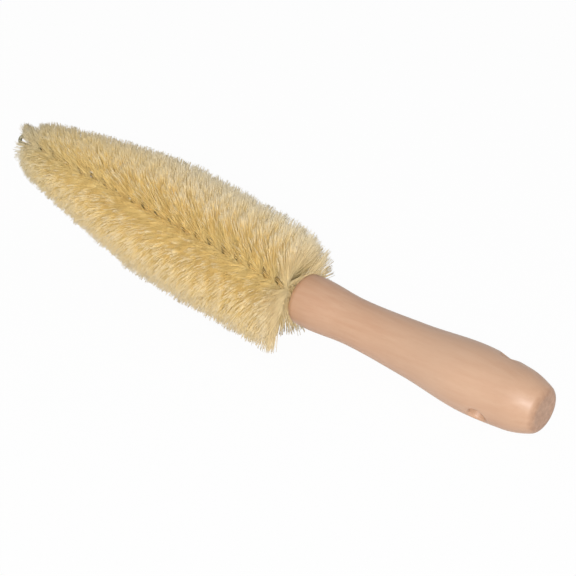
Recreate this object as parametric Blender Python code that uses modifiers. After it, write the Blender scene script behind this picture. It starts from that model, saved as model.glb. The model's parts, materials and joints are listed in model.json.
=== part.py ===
# Cone wheel brush: a turned wooden handle and a twisted wire stem that grips the fibre.
#
# The brush lies at rest as it would on a table, on the fibre at the back of its head and
# on the belly of its handle. The row frame has +X from the tip to the butt, +Z up, and
# its origin at the bottom centre of the brush's box.
#
# Two empties carry everything. handle_axis sits at the middle of the handle's nose, and
# head_axis sits where the stem bends. In both, local +Z runs towards the tip, local +X
# is the side that faces up and local +Y is the row's +Y.

import math
import random

import bmesh
import bpy
from mathutils import Matrix, Vector

# Clearances
FIT_GAP = 0.0003          # between neighbours that touch on the real brush
END_GAP = 0.0008          # between the ends of the wire and the bottom of the bore

# Handle, a body of revolution. Stations run from the nose or from the butt
HANDLE_LENGTH = 0.1335
NOSE_DIAMETER = 0.0244
NOSE_EDGE_RADIUS = 0.0040
BULGE_FROM_NOSE = 0.0095
BULGE_DIAMETER = 0.0247
WAIST_FROM_NOSE = 0.0304
WAIST_DIAMETER = 0.0222
PALM_DIAMETER = 0.0258    # halfway from the waist to the belly
BELLY_FROM_BUTT = 0.0359
BELLY_DIAMETER = 0.0320
SHOULDER_FROM_BUTT = 0.0150
SHOULDER_DIAMETER = 0.0297
BUTT_FACE_DIAMETER = 0.0148
BUTT_EDGE_RADIUS = 0.0044
BUTT_TAPER = math.radians(23.0)

# How finely the turned shapes are made
HANDLE_SIDES = 48
HANDLE_RINGS = 24         # between the two rounded ends
ARC_STEPS = 5
HOLE_SIDES = 32
GLUE_SIDES = 24
EYE_STEPS = 6

# Hang hole, drilled across the handle a little off its middle
HANG_HOLE_FROM_BUTT = 0.0265
HANG_HOLE_DIAMETER = 0.0090
HANG_HOLE_EASE = 0.0015   # radius of the softened mouths
HANG_HOLE_TILT = math.radians(43.0)   # of its front mouth, below the horizontal
HANG_HOLE_OFFSET = 0.0025 # of its axis from the handle's, up and to the front

# Blind bore in the nose, and the glue in it
STEM_INSERTION = 0.0320
GLUE_WALL = 0.0004
GLUE_BELOW_NOSE = 0.0006
BORE_CHAMFER = 0.0005

# Stem: one wire folded double and twisted
WIRE_DIAMETER = 0.0018
TWIST_PITCH = 0.0159
LEG_GAP_IN_BORE = 0.0008
BARE_STEM = 0.0042        # between the nose and the fibre
STEM_BEND = math.radians(4.7)
EYE_UNTWIST = 0.0054      # length over which the twist dies out at the tip
POINTS_PER_TURN = 8

# Fibre: a double helix pinched between the legs, one whorl for each half turn
WHORL_COUNT = 20
BAND_THICKNESS = 0.0009   # of the pinched fibre
BAND_PROUD = 0.00025      # how far the pinched band stands out past the wires
STRANDS_PER_SIDE = 8      # in one whorl, which has two sides
HEAD_RADIUS = 0.0290      # trimmed envelope over the cylindrical part
CYLINDER_LENGTH = 0.0786
TIP_RADIUS = 0.0130       # trimmed envelope at the last whorl
BACK_EDGE_DROP = 0.0035   # rounding of the envelope at the back of the head
BACK_EDGE_LENGTH = 0.0065
KNEE_SHARE = 0.25         # where along its length a strand bends
KNEE_HEIGHT = 0.00072
KNEE_WIDTH = 0.0010
STRAND_TIP_WIDTH = 0.0024 # of a clump of fibres at the full radius
TIP_STAGGER = 0.0019      # strands lean towards and away from the tip in turn
TIP_WANDER = 0.0006
TIP_SHORTFALL = 0.0014
TIP_SWAY = math.radians(5.0)   # sideways, one way or the other in turn
TIP_SWAY_WANDER = math.radians(3.0)
FIBRE_SEED = 41

# Floor trim: two strands of the first whorl carry the head, and are cut flat
FLOOR_TRIM = 0.0005
FLOOR_ROWS = (4, 5)

# Sizes that follow from the ones above
HALF_PITCH = TWIST_PITCH / 2
WIRE_RADIUS = WIRE_DIAMETER / 2
LEG_OFFSET = WIRE_RADIUS + BAND_THICKNESS / 2 + FIT_GAP
LEG_OFFSET_IN_BORE = WIRE_RADIUS + LEG_GAP_IN_BORE / 2
GLUE_INNER_RADIUS = LEG_OFFSET_IN_BORE + WIRE_RADIUS + FIT_GAP
GLUE_OUTER_RADIUS = GLUE_INNER_RADIUS + GLUE_WALL
BORE_RADIUS = GLUE_OUTER_RADIUS + FIT_GAP
BORE_DEPTH = STEM_INSERTION + END_GAP
BAND_HALF_WIDTH = LEG_OFFSET + WIRE_RADIUS + BAND_PROUD
FIBRE_START = BARE_STEM / 2
FIBRE_END = FIBRE_START + WHORL_COUNT * HALF_PITCH
CONE_START = FIBRE_START + CYLINDER_LENGTH
TWIST_RATE = 2 * math.pi / TWIST_PITCH
SLICE_LENGTH = HALF_PITCH - FIT_GAP
STRAND_STEP = SLICE_LENGTH / STRANDS_PER_SIDE
STRAND_TURN = TWIST_RATE * STRAND_STEP


def clear_scene():
    for obj in list(bpy.data.objects):
        bpy.data.objects.remove(obj, do_unlink=True)


def new_collection(name):
    collection = bpy.data.collections.new(name)
    bpy.context.scene.collection.children.link(collection)
    return collection


def new_material(name, colour, roughness, metallic=0.0):
    material = bpy.data.materials.new(name)
    material.use_nodes = True
    shader = material.node_tree.nodes["Principled BSDF"]
    shader.inputs["Base Color"].default_value = (*colour, 1.0)
    shader.inputs["Roughness"].default_value = roughness
    shader.inputs["Metallic"].default_value = metallic
    return material


def new_empty(name, collection, parent, location, rotation):
    empty = bpy.data.objects.new(name, None)
    empty.empty_display_size = 0.01
    empty.parent = parent
    empty.location = location
    empty.rotation_euler = rotation
    collection.objects.link(empty)
    return empty


def add_object(name, data, collection, parent, material):
    obj = bpy.data.objects.new(name, data)
    obj.parent = parent
    data.materials.append(material)
    collection.objects.link(obj)
    return obj


def smooth_through(knots, first_slope, last_slope):
    """A function through the (station, value) knots that never overshoots them."""
    steps = [(b[0] - a[0], b[1] - a[1]) for a, b in zip(knots, knots[1:])]
    slopes = [first_slope]
    for (run_a, rise_a), (run_b, rise_b) in zip(steps, steps[1:]):
        if rise_a * rise_b <= 0:
            slopes.append(0.0)
        else:
            slopes.append(2 / (run_a / rise_a + run_b / rise_b))
    slopes.append(last_slope)

    def value(station):
        index = 0
        while index < len(steps) - 1 and station > knots[index + 1][0]:
            index += 1
        run, rise = steps[index]
        share = (station - knots[index][0]) / run
        blend = share * share * (3 - 2 * share)
        enter = slopes[index] * run * share * (1 - share) ** 2
        leave = slopes[index + 1] * run * share * share * (share - 1)
        return knots[index][1] + rise * blend + enter + leave

    return value


def butt_arc(angle):
    """Station and radius on the butt's rounded edge; a right angle is the flat face."""
    station = HANDLE_LENGTH - BUTT_EDGE_RADIUS * (1 - math.sin(angle))
    return station, BUTT_FACE_DIAMETER / 2 + BUTT_EDGE_RADIUS * math.cos(angle)


def handle_knots():
    belly = HANDLE_LENGTH - BELLY_FROM_BUTT
    return [
        (NOSE_EDGE_RADIUS, NOSE_DIAMETER / 2),
        (BULGE_FROM_NOSE, BULGE_DIAMETER / 2),
        (WAIST_FROM_NOSE, WAIST_DIAMETER / 2),
        ((WAIST_FROM_NOSE + belly) / 2, PALM_DIAMETER / 2),
        (belly, BELLY_DIAMETER / 2),
        (HANDLE_LENGTH - SHOULDER_FROM_BUTT, SHOULDER_DIAMETER / 2),
        butt_arc(BUTT_TAPER),
    ]


HANDLE_RADIUS = smooth_through(handle_knots(), 0.0, -math.tan(BUTT_TAPER))


def handle_outline():
    """(radius, station from the nose) down the outside, from the nose to the butt."""
    points = []
    for step in range(ARC_STEPS + 1):
        angle = math.pi / 2 * step / ARC_STEPS
        points.append((
            NOSE_DIAMETER / 2 - NOSE_EDGE_RADIUS * (1 - math.sin(angle)),
            NOSE_EDGE_RADIUS * (1 - math.cos(angle)),
        ))
    body_end = butt_arc(BUTT_TAPER)[0]
    for step in range(1, HANDLE_RINGS + 1):
        share = step / HANDLE_RINGS
        station = NOSE_EDGE_RADIUS + (body_end - NOSE_EDGE_RADIUS) * share
        points.append((HANDLE_RADIUS(station), station))
    for step in range(1, ARC_STEPS + 1):
        angle = BUTT_TAPER + (math.pi / 2 - BUTT_TAPER) * step / ARC_STEPS
        station, radius = butt_arc(angle)
        points.append((radius, station))
    return points


def head_radius(distance):
    """Radius of the trimmed envelope, at a distance along the head axis."""
    if distance < FIBRE_START + BACK_EDGE_LENGTH:
        share = 1 - (distance - FIBRE_START) / BACK_EDGE_LENGTH
        return HEAD_RADIUS - BACK_EDGE_DROP * min(share, 1.0) ** 2
    if distance < CONE_START:
        return HEAD_RADIUS
    share = (distance - CONE_START) / (FIBRE_END - CONE_START)
    return HEAD_RADIUS + (TIP_RADIUS - HEAD_RADIUS) * share


def strand_station(whorl, row):
    return FIBRE_START + whorl * HALF_PITCH + FIT_GAP / 2 + (row + 0.5) * STRAND_STEP


def band_angle(distance):
    """Direction of the pinched band. It puts the floor midway between two strands."""
    floor_station = (strand_station(0, FLOOR_ROWS[0]) + strand_station(0, FLOOR_ROWS[1])) / 2
    return TWIST_RATE * (distance - floor_station)


def head_drop(tilt):
    """How far the floor lies under the bend, with the two strands there trimmed."""
    slope = tilt + STEM_BEND
    drops = []
    for row in FLOOR_ROWS:
        distance = strand_station(0, row)
        reach = head_radius(distance) * math.cos(STRAND_TURN / 2)
        drops.append(reach * math.cos(slope) - distance * math.sin(slope))
    return min(drops) - FLOOR_TRIM


def handle_drop(tilt):
    """How far the floor lies under the middle of the nose, at the handle's belly."""
    drops = [
        station * math.sin(tilt) + radius * math.cos(tilt)
        for radius, station in handle_outline()
    ]
    return max(drops)


def rest_tilt():
    """Slope of the handle with the head and the belly both on the floor."""
    low, high = 0.0, math.radians(30)
    for _ in range(60):
        middle = (low + high) / 2
        over = head_drop(middle) - FIBRE_START * math.sin(middle) - handle_drop(middle)
        if over > 0:
            low = middle
        else:
            high = middle
    return (low + high) / 2


def turned(name, profile, closed, sides, collection, parent, material):
    """A (radius, height) profile turned round local Z, running down its outer side."""
    count = len(profile)
    vertices = [(radius, 0.0, height) for radius, height in profile]
    edges = [(i, i + 1) for i in range(count - 1)]
    if closed:
        edges.append((count - 1, 0))
    mesh = bpy.data.meshes.new(name)
    mesh.from_pydata(vertices, edges, [])
    obj = add_object(name, mesh, collection, parent, material)
    screw = obj.modifiers.new("turn", "SCREW")
    screw.axis = "Z"
    screw.angle = 2 * math.pi
    screw.steps = sides
    screw.render_steps = sides
    screw.use_merge_vertices = True
    screw.merge_threshold = 0.00001
    screw.use_smooth_shade = True
    return obj


def cut(obj, cutter, name):
    cutter.hide_render = True
    cutter.display_type = "WIRE"
    modifier = obj.modifiers.new(name, "BOOLEAN")
    modifier.operation = "DIFFERENCE"
    modifier.solver = "EXACT"
    modifier.object = cutter


def make_hang_hole_cutter(collection, parent, material):
    """A pin that flares where it leaves the handle, so that the mouths are soft."""
    station = HANDLE_LENGTH - HANG_HOLE_FROM_BUTT
    surface = math.sqrt(HANDLE_RADIUS(station) ** 2 - HANG_HOLE_OFFSET ** 2)
    radius = HANG_HOLE_DIAMETER / 2
    past = surface + 2 * HANG_HOLE_EASE
    upper = [(0.0, past), (radius + HANG_HOLE_EASE, past)]
    for step in range(ARC_STEPS + 1):
        angle = math.pi / 2 * step / ARC_STEPS
        flare = radius + HANG_HOLE_EASE * (1 - math.sin(angle))
        upper.append((flare, surface - HANG_HOLE_EASE * (1 - math.cos(angle))))
    lower = [(flare, -height) for flare, height in reversed(upper)]
    profile = upper + lower
    cutter = turned(
        "hang_hole_cutter", profile, False, HOLE_SIDES, collection, parent, material
    )
    cutter.location = (
        HANG_HOLE_OFFSET * math.cos(HANG_HOLE_TILT),
        -HANG_HOLE_OFFSET * math.sin(HANG_HOLE_TILT),
        -station,
    )
    cutter.rotation_euler = (math.pi / 2, 0.0, -HANG_HOLE_TILT)
    return cutter


def make_handle(parts, cutters, parent):
    wood = new_material("lacquered_hardwood", (0.74, 0.50, 0.33), 0.38)
    bore = [
        (0.0, -BORE_DEPTH),
        (BORE_RADIUS, -BORE_DEPTH),
        (BORE_RADIUS, -BORE_CHAMFER),
        (BORE_RADIUS + BORE_CHAMFER, 0.0),
    ]
    outside = [(radius, -station) for radius, station in handle_outline()]
    profile = bore + outside + [(0.0, -HANDLE_LENGTH)]
    handle = turned("handle", profile, False, HANDLE_SIDES, parts, parent, wood)
    cut(handle, make_hang_hole_cutter(cutters, parent, wood), "hang hole")
    return handle


def make_glue(parts, parent):
    glue = new_material("cured_glue", (0.62, 0.52, 0.34), 0.45)
    profile = [
        (GLUE_INNER_RADIUS, -GLUE_BELOW_NOSE),
        (GLUE_OUTER_RADIUS, -GLUE_BELOW_NOSE),
        (GLUE_OUTER_RADIUS, -STEM_INSERTION),
        (GLUE_INNER_RADIUS, -STEM_INSERTION),
    ]
    return turned("glue_sleeve", profile, True, GLUE_SIDES, parts, parent, glue)


def stem_frame(distance):
    """Centre and lean of the stem in the head's frame; it bends evenly while bare."""
    if distance >= FIBRE_START:
        return Vector((0.0, 0.0, distance)), 0.0
    radius = BARE_STEM / STEM_BEND
    lean = -STEM_BEND * min((FIBRE_START - distance) / BARE_STEM, 1.0)
    centre = Vector((
        radius * (1 - math.cos(lean)),
        0.0,
        FIBRE_START + radius * math.sin(lean),
    ))
    in_bore = min(distance + FIBRE_START, 0.0)
    return centre + in_bore * Vector((math.sin(lean), 0.0, math.cos(lean))), lean


def leg_offset(distance):
    """The legs close up where they leave the fibre for the bore."""
    share = (distance + FIBRE_START) / BARE_STEM
    share = min(max(share, 0.0), 1.0)
    blend = share * share * (3 - 2 * share)
    return LEG_OFFSET_IN_BORE + (LEG_OFFSET - LEG_OFFSET_IN_BORE) * blend


def leg_angle(distance):
    """The legs lie square to the band, and stop turning over the untwisted end."""
    past = max(distance - FIBRE_END, 0.0)
    lost = past * past / (2 * EYE_UNTWIST)
    return band_angle(distance - lost) + math.pi / 2


def leg_point(distance, side):
    centre, lean = stem_frame(distance)
    angle = leg_angle(distance)
    offset = side * leg_offset(distance)
    up = offset * math.cos(angle) * Vector((math.cos(lean), 0.0, -math.sin(lean)))
    across = offset * math.sin(angle) * Vector((0.0, 1.0, 0.0))
    return centre + up + across


def stem_route():
    """Up one leg, round the eye at the tip and down the other leg."""
    bottom = -FIBRE_START - STEM_INSERTION
    top = FIBRE_END + EYE_UNTWIST
    count = round((top - bottom) / TWIST_PITCH * POINTS_PER_TURN)
    stations = [bottom + (top - bottom) * step / count for step in range(count + 1)]
    first_leg = [leg_point(station, 1) for station in stations]
    second_leg = [leg_point(station, -1) for station in reversed(stations)]
    middle = (first_leg[-1] + second_leg[0]) / 2
    out = first_leg[-1] - middle
    eye = []
    for step in range(1, EYE_STEPS):
        angle = math.pi * step / EYE_STEPS
        rise = Vector((0.0, 0.0, out.length * math.sin(angle)))
        eye.append(middle + math.cos(angle) * out + rise)
    print_least_gap(first_leg, second_leg)
    return first_leg + eye + second_leg


def print_least_gap(first_leg, second_leg):
    """The gap from leg to leg, and along one leg to points half a turn or more away."""
    nearest = min((a - b).length for a in first_leg for b in second_leg)
    half_turn = POINTS_PER_TURN // 2
    for leg in (first_leg, second_leg):
        for start in range(len(leg)):
            for end in range(start + half_turn, len(leg)):
                nearest = min(nearest, (leg[start] - leg[end]).length)
    print(f"least gap of the wire to itself: {1000 * (nearest - WIRE_DIAMETER):.2f} mm")


def make_stem(parts, parent):
    steel = new_material("galvanised_wire", (0.36, 0.37, 0.35), 0.42, 0.9)
    route = stem_route()
    curve = bpy.data.curves.new("stem_wire", "CURVE")
    curve.dimensions = "3D"
    curve.bevel_depth = WIRE_RADIUS
    curve.bevel_resolution = 1
    curve.use_fill_caps = True
    spline = curve.splines.new("POLY")
    spline.points.add(len(route) - 1)
    for point, place in zip(spline.points, route):
        point.co = (*place, 1.0)
    return add_object("stem_wire", curve, parts, parent, steel)


def strand_tips(whorl):
    """(radius, distance, sway) of the end of each strand, by side and row."""
    draw = random.Random(FIBRE_SEED + whorl)
    turn_sway = TIP_SWAY if whorl % 2 == 0 else -TIP_SWAY
    tips = {}
    for row in range(STRANDS_PER_SIDE):
        for side in (-1, 1):
            lean = TIP_STAGGER if row % 2 == 0 else -TIP_STAGGER
            wander = draw.uniform(-TIP_WANDER, TIP_WANDER)
            sway = turn_sway + draw.uniform(-TIP_SWAY_WANDER, TIP_SWAY_WANDER)
            short = draw.uniform(0.0, TIP_SHORTFALL)
            if whorl == 0:
                # This whorl carries the head on the floor, so it is trimmed true.
                lean = wander = sway = short = 0.0
            distance = strand_station(whorl, row) + lean + wander
            tips[side, row] = (head_radius(distance) - short, distance, sway)
    return tips


def strand_width(radius):
    """A clump of fibres opens out with its distance from the stem."""
    share = (radius - BAND_HALF_WIDTH) / (HEAD_RADIUS - BAND_HALF_WIDTH)
    return KNEE_WIDTH + (STRAND_TIP_WIDTH - KNEE_WIDTH) * share


def draw_out(bm, face):
    """Extrudes one face by itself, and gives the face at its new end."""
    return bmesh.ops.extrude_discrete_faces(bm, faces=[face])["faces"][0]


def set_ring(verts, middle, radius, distance, angle, width, height):
    """Squares a strand's section up, and carries it out to its place."""
    for vert in verts:
        across = math.copysign(width / 2, vert.co.y - middle.y)
        along = math.copysign(height / 2, vert.co.z - middle.z)
        place = Vector((math.copysign(radius, middle.x), across, distance + along))
        vert.co = Matrix.Rotation(angle, 3, "Z") @ place


def grow_strand(bm, root, whorl, tips):
    """Draws one face on the edge of the band out to a knee, and then to a tip."""
    middle = root.calc_center_median()
    side = 1 if middle.x > 0 else -1
    row = round((middle.z - strand_station(whorl, 0)) / STRAND_STEP)
    radius, distance, sway = tips[side, row]
    station = strand_station(whorl, row)
    knee = draw_out(bm, root)
    knee_verts = list(knee.verts)
    tip_verts = list(draw_out(bm, knee).verts)
    knee_radius = BAND_HALF_WIDTH + KNEE_SHARE * (radius - BAND_HALF_WIDTH)
    angle = band_angle(station)
    set_ring(knee_verts, middle, knee_radius, station, angle, KNEE_WIDTH, KNEE_HEIGHT)
    width = strand_width(radius)
    set_ring(tip_verts, middle, radius, distance, angle + sway, width, width)
    return knee_verts + tip_verts


def whorl_mesh(name, whorl):
    """Half a turn of the pinched band, with its strands grown from both edges."""
    bm = bmesh.new()
    bmesh.ops.create_cube(bm, size=1.0)
    size = (2 * BAND_HALF_WIDTH, BAND_THICKNESS, SLICE_LENGTH)
    bmesh.ops.scale(bm, vec=size, verts=bm.verts)
    long_edges = [
        edge for edge in bm.edges
        if abs(edge.verts[0].co.z - edge.verts[1].co.z) > SLICE_LENGTH / 2
    ]
    bmesh.ops.subdivide_edges(
        bm, edges=long_edges, cuts=STRANDS_PER_SIDE - 1, use_grid_fill=True
    )
    middle = FIBRE_START + (whorl + 0.5) * HALF_PITCH
    bmesh.ops.translate(bm, vec=(0.0, 0.0, middle), verts=bm.verts)
    bm.normal_update()
    roots = [face for face in bm.faces if abs(face.normal.x) > 0.5]
    tips = strand_tips(whorl)
    grown = set()
    for root in roots:
        grown.update(grow_strand(bm, root, whorl, tips))
    for vert in bm.verts:
        if vert not in grown:
            vert.co = Matrix.Rotation(band_angle(vert.co.z), 3, "Z") @ vert.co
    mesh = bpy.data.meshes.new(name)
    bm.to_mesh(mesh)
    bm.free()
    return mesh


def make_floor_cutter(cutters, material):
    """Everything under the floor, which trims the strands that the head lies on."""
    bm = bmesh.new()
    bmesh.ops.create_cube(bm, size=1.0)
    mesh = bpy.data.meshes.new("floor_cutter")
    size = 4 * HEAD_RADIUS
    bmesh.ops.scale(bm, vec=(size, size, size), verts=bm.verts)
    bm.to_mesh(mesh)
    bm.free()
    cutter = add_object("floor_cutter", mesh, cutters, None, material)
    cutter.location = (0.0, 0.0, -size / 2)
    return cutter


def make_fibre(parts, cutters, parent):
    floor_cutter = None
    for whorl in range(WHORL_COUNT):
        name = f"fibre_whorl_{whorl + 1:02d}"
        fibre = new_material(name, (0.80, 0.66, 0.40), 0.72)
        obj = add_object(name, whorl_mesh(name, whorl), parts, parent, fibre)
        bpy.context.view_layer.update()
        lowest = min((obj.matrix_world @ vert.co).z for vert in obj.data.vertices)
        if lowest < 0:
            if floor_cutter is None:
                floor_cutter = make_floor_cutter(cutters, fibre)
                floor_cutter.location.x = obj.matrix_world.translation.x
            cut(obj, floor_cutter, "floor trim")


def nose_place(tilt):
    """Puts the floor at zero, and the middle of the brush's length at zero."""
    behind = max(
        station * math.cos(tilt) + radius * math.sin(tilt)
        for radius, station in handle_outline()
    )
    eye_end = FIBRE_END + EYE_UNTWIST + LEG_OFFSET + WIRE_RADIUS
    ahead = FIBRE_START * math.cos(tilt) + eye_end * math.cos(tilt + STEM_BEND)
    return Vector(((ahead - behind) / 2, 0.0, handle_drop(tilt)))


def main():
    clear_scene()
    parts = new_collection("cone_wheel_brush")
    cutters = new_collection("cutters")
    tilt = rest_tilt()
    lying = (0.0, tilt - math.pi / 2, 0.0)
    handle_axis = new_empty("handle_axis", parts, None, nose_place(tilt), lying)
    bend = (0.0, STEM_BEND, 0.0)
    head_axis = new_empty(
        "head_axis", parts, handle_axis, (0.0, 0.0, FIBRE_START), bend
    )
    make_handle(parts, cutters, handle_axis)
    make_glue(parts, handle_axis)
    make_stem(parts, head_axis)
    make_fibre(parts, cutters, head_axis)
    print(f"the handle slopes {math.degrees(tilt):.2f} degrees at rest")


main()
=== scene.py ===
import json
import math

import bmesh
import bpy
import numpy as np
from bpy.props import FloatProperty, FloatVectorProperty, IntProperty, PointerProperty
from bpy.types import Operator, Panel, PropertyGroup
from mathutils import Matrix, Vector


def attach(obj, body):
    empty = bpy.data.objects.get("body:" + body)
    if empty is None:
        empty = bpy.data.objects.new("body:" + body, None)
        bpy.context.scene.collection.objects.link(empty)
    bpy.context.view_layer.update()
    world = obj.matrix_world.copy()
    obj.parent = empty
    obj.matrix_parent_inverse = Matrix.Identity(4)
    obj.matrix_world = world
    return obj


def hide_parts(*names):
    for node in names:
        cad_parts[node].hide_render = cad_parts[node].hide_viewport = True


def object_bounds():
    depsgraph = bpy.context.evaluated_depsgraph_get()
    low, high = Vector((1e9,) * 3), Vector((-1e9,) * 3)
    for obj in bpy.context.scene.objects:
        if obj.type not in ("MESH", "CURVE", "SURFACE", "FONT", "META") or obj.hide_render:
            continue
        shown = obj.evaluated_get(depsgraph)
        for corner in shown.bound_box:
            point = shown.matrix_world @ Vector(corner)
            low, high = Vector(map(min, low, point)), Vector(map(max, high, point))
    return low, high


bl_info = {
    "name": "Cone Wheel Brush",
    "version": (1, 0, 0),
    "blender": (4, 5, 0),
    "location": "3D View > Sidebar > Wheel Brush",
    "description": "Dresses a wheel cleaning brush: turned handle, twisted wire and fibre",
    "category": "Add Mesh",
}

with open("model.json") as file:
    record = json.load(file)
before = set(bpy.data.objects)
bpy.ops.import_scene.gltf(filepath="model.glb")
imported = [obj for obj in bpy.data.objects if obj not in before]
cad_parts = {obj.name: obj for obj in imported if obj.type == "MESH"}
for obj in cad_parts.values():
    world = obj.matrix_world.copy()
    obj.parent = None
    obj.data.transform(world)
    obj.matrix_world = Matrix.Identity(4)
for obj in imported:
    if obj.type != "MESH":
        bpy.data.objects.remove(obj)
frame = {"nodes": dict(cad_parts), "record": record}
CAD_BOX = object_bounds()
(BUTT,) = (mount for mount in frame["record"]["mounts"] if mount["name"] == "butt_end")

# The handle runs along the axis of its butt face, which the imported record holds.
BUTT_CENTRE = np.array(BUTT["pos_m"])
TO_BUTT = np.array(BUTT["axis"]) / np.linalg.norm(BUTT["axis"])
ACROSS = np.array([0.0, 1.0, 0.0])
HANDLE_UP = np.cross(TO_BUTT, ACROSS)


def setting(kind, **fixed):
    """Shorthand for a kind of setting, which is called with its value and its words."""
    def make(value, words):
        return lambda label: kind(name=label, description=words, default=value, **fixed)

    return make


def labelled(group):
    """Makes the settings of a group, each labelled with the words of its own name."""
    for name, make in group.__annotations__.items():
        group.__annotations__[name] = make(name.replace("_", " ").capitalize())
    return group


size = setting(FloatProperty, min=0.0, unit="LENGTH", precision=5)
span = setting(FloatVectorProperty, min=0.0, size=2, unit="LENGTH")
turned = setting(FloatProperty, unit="ROTATION")
share = setting(FloatProperty, min=0.0, subtype="FACTOR")
power = setting(FloatProperty, min=0.0, unit="POWER")
focal = setting(FloatProperty, min=1.0, unit="CAMERA")
count = setting(IntProperty, min=1)
colour = setting(FloatVectorProperty, min=0.0, max=1.0, size=3, subtype="COLOR")
sector = setting(FloatVectorProperty, size=2, unit="ROTATION")


def angle(degrees, words):
    return turned(math.radians(degrees), words)


def flank(bearing, width, words):
    """A bearing round the head, and how far to its two sides an effect reaches from it."""
    return sector((math.radians(bearing), math.radians(width)), words)


@labelled
class BrushHandleSettings(PropertyGroup):
    """Sizes and colours of the turned handle."""

    length: size(0.1335, "From the nose to the butt face")
    nose: size(0.0244, "Diameter just behind the rounded rim of the nose")
    nose_edge: size(0.0040, "Rounding of the nose's rim")
    bulge_from_nose: size(0.0095, "Where the nose is fattest")
    bulge: size(0.0247, "Diameter of the nose where it is fattest")
    waist_from_nose: size(0.0304, "Where the handle is thinnest")
    waist: size(0.0222, "Diameter where the handle is thinnest")
    palm: size(0.0258, "Diameter halfway from the waist to the belly")
    belly_from_butt: size(0.0359, "Where the handle is thickest")
    belly: size(0.0320, "Diameter where the handle is thickest")
    shoulder_from_butt: size(0.0150, "Where the back starts to close")
    shoulder: size(0.0297, "Diameter where the back starts to close")
    butt_face: size(0.0148, "Diameter of the flat face at the end")
    butt_edge: size(0.0044, "Rounding of the end's rim")
    butt_taper: angle(23.0, "Slope of the side where it meets the rounded rim")
    hole_from_butt: size(0.0265, "Middle of the cross-drilled hole")
    hole: size(0.0090, "Diameter of the cross-drilled hole")
    hole_ease: size(0.0015, "Rounding of the hole's mouths")
    hole_tilt: angle(43.0, "Slope of the front mouth below the horizontal")
    hole_offset: size(0.0025, "Its axis from the handle's, up and forward")
    bore_depth: size(0.0328, "Of the blind bore that holds the wire")
    bore: size(0.0064, "Diameter of the blind bore")
    bore_chamfer: size(0.0005, "Broken edge of the bore's mouth")
    wood: colour((0.548, 0.311, 0.191), "Lacquered wood in even light")
    wood_dark: colour((0.440, 0.226, 0.124), "The wood's late growth and flecks")
    wood_pale: colour((0.600, 0.368, 0.236), "The wood's early growth")
    wood_rubbed: colour((0.640, 0.430, 0.296), "Where the hand rubs it pale")
    end_grain: colour((0.350, 0.184, 0.108), "Darkest blotches of the butt face")


@labelled
class BrushWireSettings(PropertyGroup):
    """Sizes and colours of the twisted stem wire and its glue."""

    wire: size(0.0018, "Diameter of each leg")
    pitch: size(0.0159, "Length of one full turn of the twist")
    bare: size(0.0042, "Stem that shows between the nose and the fibre")
    bend: angle(4.7, "How far the head is bent up from the handle's line")
    insertion: size(0.0320, "How deep the legs sit in the handle")
    leg_gap: size(0.0008, "Between the two legs inside the handle")
    band_gap: size(0.0003, "Between each leg and the pinched fibre")
    eye_untwist: size(0.0054, "Length over which the twist dies out at the tip")
    upright_at: size(0.00703125, "Where on the head axis the band is upright")
    metal: colour((0.290, 0.275, 0.190), "Dull zinc")
    metal_dark: colour((0.150, 0.138, 0.090), "Oxidised zinc in the hollows")
    # Partly fibre dust, partly painted light: the wire inside the fibre is tinted lighter to
    # lift its shade
    dust: colour((0.560, 0.380, 0.150), "Fibre dust on the wire where it grips the fibre")
    glue: colour((0.560, 0.430, 0.240), "Cured glue in the bore")


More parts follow.
